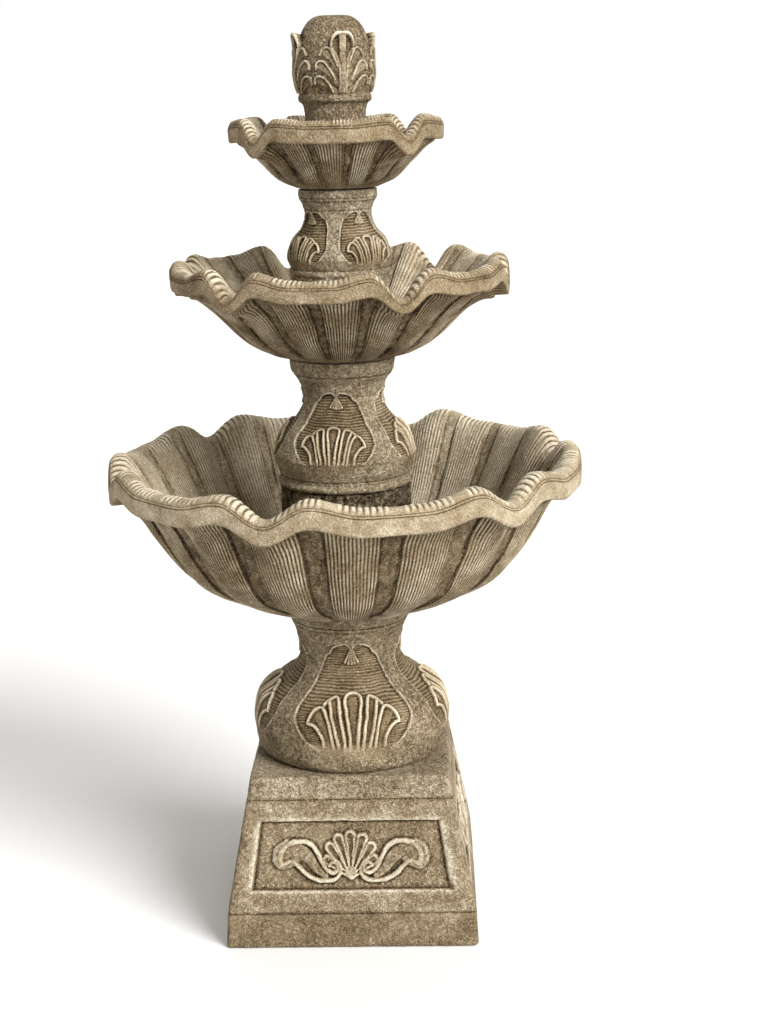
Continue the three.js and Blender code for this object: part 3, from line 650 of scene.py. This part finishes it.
STONE_TONES = [(0.0, (0.032, 0.019, 0.008)), (0.22, (0.110, 0.074, 0.036)), (0.45, (0.242, 0.177, 0.098)),
               (0.65, (0.388, 0.308, 0.198)), (0.85, (0.575, 0.490, 0.350)), (1.0, (0.760, 0.680, 0.530))]


def stone(name, darker=0.0, rougher=1.0):
    """Cast stone with an antique wash: tone says where the wash stays, with painted shade and painted light mixed
    in, and pit says how eroded the face is.
    """
    m, tree, shader = bare_material(name)
    tone, pit = attribute(tree, "tone"), attribute(tree, "pit")

    def times(a, b):
        return maths(tree, "MULTIPLY", a, b)

    def plus(a, b):
        return maths(tree, "ADD", a, b)

    def about_half(value, weight):
        return times(maths(tree, "SUBTRACT", value, 0.5), weight)

    cloud = pattern(tree, NOISE, 10.0, 4.0)
    patch = pattern(tree, NOISE, 110.0, 5.0, roughness=0.7)
    grain = pattern(tree, NOISE, 400.0, 4.0, roughness=0.75)
    holes = ramp(tree, pattern(tree, CELLS, 190.0), [(0.0, (1.0,)), (0.38, (0.0,))])
    eroded = ramp(tree, pattern(tree, NOISE, 150.0, 4.0, roughness=0.7), [(0.44, (1.0,)), (0.50, (0.0,))])
    spots = times(maths(tree, "MAXIMUM", times(holes, 0.8), eroded), pit)
    flecks = ramp(tree, pattern(tree, NOISE, 370.0, 3.0, roughness=0.75), [(0.52, (0.0,)), (0.64, (1.0,))])
    coarse = plus(times(pit, 1.2), 0.9)
    value = plus(tone, about_half(patch, 0.4))
    value = plus(value, about_half(grain, coarse))
    value = plus(value, times(flecks, 0.20))
    value = plus(value, about_half(cloud, 0.42))
    value = maths(tree, "SUBTRACT", value, times(spots, 0.16))
    value = maths(tree, "SUBTRACT", value, darker, clamp=True)
    tree.links.new(ramp(tree, value, STONE_TONES), shader.inputs["Base Color"])
    tree.links.new(ramp(tree, value, [(0.0, (0.96,)), (1.0, (0.78,))]), shader.inputs["Roughness"])
    shader.inputs["Specular IOR Level"].default_value = 0.22
    height = plus(times(grain, times(coarse, 0.75)), times(patch, 0.8))
    bump(tree, maths(tree, "SUBTRACT", height, times(spots, 1.3)), 0.9 * rougher, 0.0038, shader)
    return m


def moulded(name, dark, light, roughness, scale, strength, metallic=0.0, stretch=None, coat=0.0):
    """A moulded or metal surface: fine grain, faint mottling and gloss that is uneven by smear each way."""
    smear = 0.08
    m, tree, shader = bare_material(name)
    fine = pattern(tree, NOISE, scale, 4.0, stretch)
    broad = pattern(tree, NOISE, 38.0, 3.0)
    mixed = maths(tree, "ADD", maths(tree, "MULTIPLY", fine, 0.45), maths(tree, "MULTIPLY", broad, 0.55))
    tree.links.new(ramp(tree, mixed, [(0.32, dark), (0.68, light)]), shader.inputs["Base Color"])
    gloss = [(0.3, (max(0.05, roughness - smear),)), (0.7, (min(1.0, roughness + smear),))]
    tree.links.new(ramp(tree, mixed, gloss), shader.inputs["Roughness"])
    shader.inputs["Metallic"].default_value = metallic
    shader.inputs["Coat Weight"].default_value = coat
    bump(tree, fine, strength, 0.0004, shader)
    return m


STONE = stone("cast_stone_wash")
RISER_STONE = stone("riser_stone_wash", darker=0.03, rougher=1.5)

RUBBER = moulded("black_rubber_look", (0.010, 0.010, 0.011), (0.030, 0.030, 0.031), 0.78, 900.0, 0.5)
STEEL = moulded("steel_clamp_look", (0.42, 0.43, 0.45), (0.66, 0.67, 0.69), 0.28, 700.0, 0.35, metallic=1.0,
                stretch=(1, 1, 0.12))
COPPER = moulded("copper_pipe_look", (0.30, 0.145, 0.080), (0.62, 0.33, 0.20), 0.38, 300.0, 0.3, metallic=1.0)
BLACK_PLASTIC = moulded("pump_plastic_look", (0.009, 0.010, 0.011), (0.022, 0.023, 0.025), 0.46, 1400.0, 0.6)
GREY_PLASTIC = moulded("grey_plastic_look", (0.060, 0.065, 0.069), (0.110, 0.115, 0.120), 0.50, 1400.0, 0.5)
FERRITE = moulded("ferrite_look", (0.020, 0.020, 0.022), (0.060, 0.060, 0.064), 0.60, 800.0, 0.6,
                  metallic=0.3)
CERAMIC = moulded("ceramic_look", (0.66, 0.63, 0.57), (0.80, 0.78, 0.73), 0.26, 600.0, 0.15, coat=0.3)
VINYL = moulded("clear_vinyl_look", (0.60, 0.66, 0.63), (0.78, 0.82, 0.80), 0.16, 250.0, 0.2, coat=0.2)
VINYL.node_tree.nodes["Principled BSDF"].inputs["Transmission Weight"].default_value = 0.65

LOOKS = {
    "cord_hole_stopper": RUBBER, "middle_bowl_grommet": RUBBER, "top_bowl_grommet": RUBBER,
    "middle_bowl_setting_ring": RUBBER, "top_bowl_setting_ring": RUBBER, "volute_seal": RUBBER,
    "rear_shaft_bush": RUBBER, "front_shaft_bush": RUBBER, "suction_foot_1": RUBBER, "suction_foot_2": RUBBER,
    "suction_foot_3": RUBBER, "suction_foot_4": RUBBER, "pump_hose_clamp": STEEL, "nozzle_pipe": COPPER,
    "supply_tube": VINYL, "pump_housing": BLACK_PLASTIC, "impeller_cover": BLACK_PLASTIC,
    "strainer_cover": BLACK_PLASTIC, "cord_gland": BLACK_PLASTIC, "outlet_barb": GREY_PLASTIC,
    "flow_dial": GREY_PLASTIC, "impeller": GREY_PLASTIC, "magnet_rotor": FERRITE, "rotor_shaft": CERAMIC,
}
for node_name, look in LOOKS.items():
    for material_slot in nodes[node_name].material_slots:
        material_slot.material = look


# ---------- riser ----------
def riser(name, body, replaced):
    """Rough drum with a lid and four low arches for the water at its foot."""
    count, radius, bore, hole = 480, 109.0, 84.0, 24.0
    foot, top, lid = 575.3, 744.4, 28.0
    arch_half, arch_leg = 18, 14
    under_lid = 1 - lid / (top - foot)
    # columns of the outline: radius, share of the height, share of the roughness; the wall draws in at both ends
    walls = np.linspace(0, 1, 88)
    outline = [(radius - 3.2 * (1 - min(1, s * 28)) ** 2 - 4.0 * max(0, s * 24 - 23) ** 2, s, 1.0) for s in walls]
    outline += [(97.0, 1.0, 0.7), (88.0, 1.0, 0.2), (70.0, 1.0, 0.0), (hole, 1.0, 0.0), (hole, under_lid, 0.0),
                (bore, under_lid, 0.0), (bore, 0.6, 0.0), (bore, 0.25, 0.0), (bore, 0.0, 0.0),
                (radius - 12, 0.0, 0.0)]
    outline = np.array(outline)
    p, angle = turned(outline, count)
    across = np.abs(radius * np.sin(np.radians((angle + 45) % 90 - 45)))
    round_top = np.sqrt(np.clip(arch_half ** 2 - across ** 2, 0, None))
    arch = np.where(across < arch_half, arch_leg + round_top, 0)
    low = (foot + arch)[:, None]
    p[..., 2] = low + (top - low) * outline[:, 1][None]
    n = normals(p)
    share = outline[:, 2][None]
    h = 2.3 * lumps(p, 24, 4) + 1.1 * lumps(p, 7) - 2.2 * step(0.25, 0.6, noise(p, 8, 3.0)) - 1.4
    h = h - 1.1 * step(0.3, 0.62, noise(p, 4.6, 9.0))
    h = h * share
    p = p + n * h[..., None]
    tone = wash_and_shade(h, 0.45 + 0.16 * noise(p, 20, 5.0) + 0.1 * noise(p, 6), 0.12)
    return shell(name, p, tone, 0.9 + 0 * h, body, RISER_STONE, replaced)


# ---------- the castings ----------
# shares of the rows over a bowl's rim: outer band, inner band, fascia, teeth, incised line
OVER_RIM = [(0.15, 0, 1, 0, 0.1), (0.15, 0, 1, 0, 1), (0.15, 0, 1, 0, 0.1), (0.15, 0, 1, 0, 0.1),
            (0.15, 0, 1, 0, 0.7), (0.15, 0, 0.9, 0.1, 0.1), (0.15, 0, 0.8, 0.5, 0), (0.1, 0, 0.7, 1, 0),
            (0.1, 0.1, 0.6, 1, 0)]


def rim_rows(points, last):
    """Rows over a rim from its [radius, height, wave] and the shares of its last row."""
    return np.array([(*point, *shares) for point, shares in zip(points, OVER_RIM + [last])])


plinth("plinth_stone", "base_and_basin", ("pedestal_base",))

lower_side = [(150, 284.3, 0, 0), (157, 290, 0, 1), (162, 302, 0, 1), (165.2, 322, 1, 1), (166.5, 348, 1, 1),
              (157, 382, 1, 1), (134, 402, 1, 1), (106, 421, 1, 1), (88, 448, 1, 1), (88, 480, 1, 1),
              (95, 503, 0, 1), (104, 520, 0, 1), (111, 534.7, 0, 0)]
lower_outline = np.concatenate([
    plain_rows((58, 284.3), (150, 284.3), 3, 2),
    by_height(lower_side, [(284.3, 322, 18), (322, 490, 118), (490, 534.7, 20)]),
    plain_rows((111, 534.7), (58, 534.7), 3, 2),
    plain_rows((58, 534.7), (58, 284.3), 3, 2),
])
column("lower_column_stone", lower_outline, 600, 3.5, 328, 486, [(515, 1.0, 1.2), (507, 0.5, 1.4)], 2.0,
       "base_and_basin", ("lower_column",))

lower_bowl = np.concatenate([
    plain_rows((22, 535), (112, 535), 3, 6),
    run([(112, 535, 0, 0, 0, 0, 0, 0), (152, 546, 0, 1, 0, 0, 0, 0), (210, 569, 0, 1, 0, 0, 0, 0),
         (264, 600, 0.02, 1, 0, 0, 0, 0), (297, 640, 0.1, 1, 0, 0, 0, 0), (322, 684, 0.35, 1, 0, 0, 0, 0),
         (340, 722, 0.6, 1, 0, 0, 0, 0), (360, 749, 0.76, 1, 0, 0, 0, 0), (365, 757, 0.8, 0.9, 0, 0, 0, 0)], 27),
    flat_rows([(365, 757, 0.8, 0.9, 0, 0, 0, 0), (388, 756.4, 0.8, 0.15, 0, 0.5, 0, 0)], 2),
    flat_rows([(388, 756.4, 0.8, 0.15, 0, 0.5, 0, 0), (390.6, 759.2, 0.82, 0.15, 0, 1, 0, 0),
               (391, 775, 0.87, 0.15, 0, 1, 0, 0), (391, 785, 0.93, 0.15, 0, 1, 0, 0)], 7),
    rim_rows([(391, 786.4, 0.95), (390.8, 787.6, 0.95), (390.4, 788.9, 0.96), (389.6, 791, 0.97),
              (388.8, 792.2, 0.98), (387.6, 793.6, 1), (384, 797.6, 1), (378, 800.4, 1), (370, 801, 1),
              (362, 797.5, 1)], (0, 0.4, 0.5, 0.8, 0)),
    run([(357, 791, 1, 0, 0.7, 0.1, 0.4, 0), (350, 782, 1, 0, 1, 0, 0, 0), (327, 740, 0.86, 0, 1, 0, 0, 0),
         (304, 695, 0.62, 0, 1, 0, 0, 0), (278, 650, 0.3, 0, 1, 0, 0, 0), (236, 609, 0.08, 0, 1, 0, 0, 0),
         (180, 583, 0, 0, 0.6, 0, 0, 0), (130, 575, 0, 0, 0, 0, 0, 0)], 17),
    plain_rows((130, 575), (22, 575), 2, 6),
    plain_rows((22, 575), (22, 535), 1, 6),
])
bowl("lower_bowl_stone", lower_bowl,
     {"lips": 6, "first": -16, "drop": 32, "sag": 15, "peak": 10.5, "rib": 4.3, "pale": 0.17, "tooth": 6}, 1440,
     {"per": 80, "ridges": 14, "width": 4, "fine": 1.0},
     {"per": 60, "ridges": 11, "width": 4, "fine": 0.9, "teeth": 1.2}, 3.0, "base_and_basin", ("lower_bowl",))

riser("riser_stone_drum", "riser", ("pump_riser",))

middle_ring = [(104, 744.7, 0, 0), (109, 746, 0, 1), (111, 748.7, 0, 1), (111.6, 751, 0, 1),
               (111, 753.7, 0, 1), (106.4, 757.2, 0, 1)]
middle_side = [(106.4, 757.2, 0, 1), (107.5, 761, 0, 1), (110, 768, 0, 1), (113.5, 779, 0.6, 1),
               (116, 790, 1, 1), (117, 800, 1, 1), (105, 833, 1, 1), (82, 857, 1, 1), (67, 886, 1, 1),
               (70, 911, 1, 1), (83, 932, 0, 1), (86, 945, 0, 1), (87, 953, 0, 0)]
middle_outline = np.concatenate([
    plain_rows((24, 744.7), (104, 744.7), 2, 2),
    run(middle_ring, 12),
    by_height(middle_side, [(757.2, 788, 20), (788, 906, 124), (906, 953, 26)]),
    plain_rows((87, 953), (24, 953), 2, 2),
    plain_rows((24, 953), (24, 744.7), 2, 2),
])
column("middle_column_stone", middle_outline, 520, -8, 791, 903, [(929, 0.9, 1.1), (763.5, 0.9, 1.1)], 4.0,
       "middle_pedestal", ("middle_column",), strokes=2.4, pale=0.12)

middle_bowl = np.concatenate([
    plain_rows((17, 956), (92, 956), 3, 6),
    run([(92, 956, 0, 0, 0, 0, 0, 0), (129, 968, 0, 1, 0, 0, 0, 0), (163, 990, 0, 1, 0, 0, 0, 0),
         (202, 1030, 0.05, 1, 0, 0, 0, 0), (230, 1057, 0.3, 1, 0, 0, 0, 0), (248, 1070, 0.55, 1, 0, 0, 0, 0),
         (252, 1077.5, 0.6, 0.9, 0, 0, 0, 0)], 34),
    flat_rows([(252, 1077.5, 0.6, 0.9, 0, 0, 0, 0), (271.2, 1078, 0.6, 0.15, 0, 0.5, 0, 0)], 2),
    flat_rows([(271.2, 1078, 0.6, 0.15, 0, 0.5, 0, 0), (273.8, 1080.6, 0.66, 0.15, 0, 1, 0, 0),
               (274.5, 1093, 0.78, 0.15, 0, 1, 0, 0), (275, 1100, 0.85, 0.15, 0, 1, 0, 0)], 9),
    rim_rows([(275, 1101.5, 0.87), (274.8, 1102.6, 0.89), (274.4, 1103.8, 0.91), (273.6, 1105.8, 0.94),
              (273.0, 1107.0, 0.96), (272.0, 1108.4, 0.98), (269, 1112.4, 1), (264, 1115.2, 1), (257, 1116, 1),
              (251, 1113, 1)], (0, 0.5, 0.4, 0.8, 0)),
    run([(246, 1108, 1, 0, 0.9, 0, 0.1, 0), (223, 1082, 0.82, 0, 1, 0, 0, 0), (192, 1048, 0.4, 0, 1, 0, 0, 0),
         (158, 1012, 0.1, 0, 1, 0, 0, 0), (128, 991, 0, 0, 0.6, 0, 0, 0), (100, 985, 0, 0, 0, 0, 0, 0)], 26),
    plain_rows((100, 985), (17, 985), 2, 6),
    plain_rows((17, 985), (17, 956), 1, 6),
])
bowl("middle_bowl_stone", middle_bowl,
     {"lips": 6, "first": -37, "drop": 42, "sag": 12, "peak": 11, "rib": 3.4, "pale": 0.02, "tooth": 5}, 1080,
     {"per": 60, "ridges": 11, "width": 4, "fine": 1.05},
     {"per": 45, "ridges": 8, "width": 4, "fine": 0.8, "teeth": 1.1}, 7.0, "middle_tier", ("middle_bowl",))

# a plain drum up to 1084, then the carved part
upper_side = [(79, 985.3, 0, 0), (79, 990, 0, 1), (79, 1040, 0, 1), (79, 1084, 0, 1), (81.2, 1090, 0, 1),
              (81, 1096, 0, 1), (79, 1100, 0, 1), (81, 1104.5, 0.3, 1), (83, 1110, 1, 1), (84, 1121, 1, 1),
              (75, 1144, 1, 1), (60, 1162, 1, 1), (53.5, 1181, 1, 1), (57, 1199, 0, 1), (63, 1210, 0, 1),
              (63, 1218, 0, 1), (63, 1223.5, 0, 0)]
upper_outline = np.concatenate([
    plain_rows((20, 985.3), (79, 985.3), 2, 2),
    by_height(upper_side, [(985.3, 1084, 40), (1084, 1106, 16), (1106, 1192, 96), (1192, 1223.5, 22)]),
    plain_rows((63, 1223.5), (20, 1223.5), 2, 2),
    plain_rows((20, 1223.5), (20, 985.3), 2, 2),
])
column("upper_column_stone", upper_outline, 480, 40.3, 1108, 1190,
       [(1211, 0.7, 1.0), (1206, 0.7, 1.0), (1192, 0.8, 1.1), (1099.5, 0.9, 1.2)], 6.0, "upper_pedestal",
       ("upper_column",), strokes=2.0, pale=0.16)

top_bowl = np.concatenate([
    plain_rows((17, 1226.5), (66, 1226.5), 3, 6),
    run([(66, 1226.5, 0, 0, 0, 0, 0, 0), (95, 1240, 0, 1, 0, 0, 0, 0), (125, 1270, 0.15, 1, 0, 0, 0, 0),
         (143, 1289, 0.5, 1, 0, 0, 0, 0), (155, 1298, 0.75, 1, 0, 0, 0, 0),
         (158, 1302, 0.8, 0.9, 0, 0, 0, 0)], 30),
    flat_rows([(158, 1302, 0.8, 0.9, 0, 0, 0, 0), (169, 1301.6, 0.8, 0.15, 0, 0.5, 0, 0)], 2),
    flat_rows([(169, 1301.6, 0.8, 0.15, 0, 0.5, 0, 0), (171.2, 1304, 0.83, 0.15, 0, 1, 0, 0),
               (172, 1319, 0.9, 0.15, 0, 1, 0, 0), (172, 1323, 0.92, 0.15, 0, 1, 0, 0)], 12),
    rim_rows([(172, 1324.0, 0.93), (171.8, 1325.0, 0.94), (171.5, 1326.1, 0.95), (170.9, 1327.8, 0.96),
              (170.4, 1328.9, 0.97), (169.6, 1330.1, 0.98), (167, 1334.4, 1), (163, 1336.6, 1), (157, 1337, 1),
              (152, 1334, 1)], (0, 0.5, 0.4, 0.8, 0)),
    run([(148, 1329, 1, 0, 0.9, 0, 0.1, 0), (134, 1308, 0.8, 0, 1, 0, 0, 0), (113, 1281, 0.34, 0, 1, 0, 0, 0),
         (92, 1261, 0.05, 0, 0.7, 0, 0, 0), (70, 1254, 0, 0, 0, 0, 0, 0)], 26),
    plain_rows((70, 1254), (17, 1254), 2, 6),
    plain_rows((17, 1254), (17, 1226.5), 1, 6),
])
bowl("top_bowl_stone", top_bowl,
     {"lips": 4, "first": -46, "drop": 30, "sag": 4, "peak": 14, "rib": 2.5, "pale": 0.0, "tooth": 5}, 960,
     {"per": 60, "ridges": 9, "width": 5, "fine": 0.85},
     {"per": 40, "ridges": 6, "width": 5, "fine": 0.8, "teeth": 0.9}, 9.0, "top_tier", ("top_bowl",))

finial_side = [(58, 1254.3, 0, 0, 0), (54, 1268, 0, 0, 1), (50, 1290, 0, 0, 1), (47.5, 1315, 0, 0, 1),
               (47.5, 1335, 0, 0, 1), (49.5, 1350, 0, 0, 1), (52, 1357, 0, 0.3, 1), (56.5, 1360, 0, 1, 0.6),
               (58, 1363.5, 0, 1, 0.6), (57.5, 1368.5, 0, 1, 0.6), (54.8, 1371.5, 0.6, 0.4, 1),
               (55.5, 1375, 1, 0, 1), (58.5, 1384, 1, 0, 1), (61.5, 1402, 1, 0, 1), (60, 1425, 1, 0, 1),
               (58, 1440, 1, 0, 1), (55, 1453, 1, 0, 1), (51, 1463, 0.6, 0, 1), (46.5, 1472, 0, 0, 1),
               (40, 1481, 0, 0, 1)]
finial_outline = np.concatenate([
    plain_rows((13, 1254.3), (58, 1254.3), 2, 3),
    by_height(finial_side, [(1254.3, 1356, 44), (1356, 1376, 18), (1376, 1466, 100), (1466, 1480.5, 10)]),
    run([(40, 1481, 0, 0, 1), (32, 1487, 0, 0, 1), (23, 1490, 0, 0, 0.6), (17, 1488.5, 0, 0, 0.2),
         (13, 1485.5, 0, 0, 0)], 14),
    plain_rows((13, 1485.5), (13, 1254.3), 3, 3),
])
finial_stone(finial_outline, 500, 15.5, "finial_top", ("finial",))

# ---------- floor, light and camera ----------
# metres and degrees
FLOOR_REACH = 120.0
FLOOR_GREY = 0.76
CAMERA_AT = (0.1372, -2.84, 1.387)
CAMERA_TURN, CAMERA_DOWN, CAMERA_ROLL = 1.52, 13.8, -1.30
CAMERA_LENS, CAMERA_SENSOR = 61.5, 36    # mm

floor_mesh = bpy.data.meshes.new("studio_floor")
corners = [(x * FLOOR_REACH, y * FLOOR_REACH, 0) for x, y in ((-1, -1), (1, -1), (1, 1), (-1, 1))]
floor_mesh.from_pydata(corners, [], [(0, 1, 2, 3)])
floor = bpy.data.objects.new("studio_floor", floor_mesh)
bpy.context.scene.collection.objects.link(floor)
floor_look, _, floor_shader = bare_material("studio_paper")
floor_shader.inputs["Base Color"].default_value = (FLOOR_GREY, FLOOR_GREY, FLOOR_GREY, 1)
floor_shader.inputs["Roughness"].default_value = 0.95
floor_mesh.materials.append(floor_look)


def sun(name, towards, power, softness):
    """A white sun; softness is its width in degrees."""
    data = bpy.data.lights.new(name, "SUN")
    data.energy = power
    data.angle = math.radians(softness)
    lamp = bpy.data.objects.new(name, data)
    bpy.context.scene.collection.objects.link(lamp)
    lamp.matrix_world = Vector(towards).to_track_quat("-Z", "Y").to_matrix().to_4x4()


sun("key", (-0.62, 0.59, -0.52), 5.3, 34)
sun("top", (-0.15, 0.25, -1.0), 0.8, 60)
sun("back", (0.10, -0.92, -0.38), 1.5, 50)

# the sky is white up to the horizon, and dimmer and warmer above it
SKY_STOPS = [(0.0, (1.0, 1.0, 1.0)), (0.05, (1.0, 1.0, 1.0)), (0.17, (0.29, 0.275, 0.245))]
world = bpy.data.worlds.new("studio")
world.use_nodes = True
sky = world.node_tree
direction = sky.nodes.new("ShaderNodeTexCoord").outputs["Generated"]
split = sky.nodes.new("ShaderNodeSeparateXYZ")
sky.links.new(direction, split.inputs[0])
sky.links.new(ramp(sky, split.outputs["Z"], SKY_STOPS), sky.nodes["Background"].inputs["Color"])
sky.nodes["Background"].inputs["Strength"].default_value = 1.0
bpy.context.scene.world = world
bpy.context.scene.view_settings.view_transform = "Standard"

camera = bpy.data.objects.new("camera", bpy.data.cameras.new("camera"))
bpy.context.scene.collection.objects.link(camera)
camera.data.lens = CAMERA_LENS
camera.data.sensor_width = CAMERA_SENSOR
camera.matrix_world = (Matrix.Translation(CAMERA_AT) @ Matrix.Rotation(math.radians(CAMERA_TURN), 4, "Z")
                       @ Matrix.Rotation(math.radians(90 - CAMERA_DOWN), 4, "X")
                       @ Matrix.Rotation(math.radians(CAMERA_ROLL), 4, "Z"))
bpy.context.scene.camera = camera
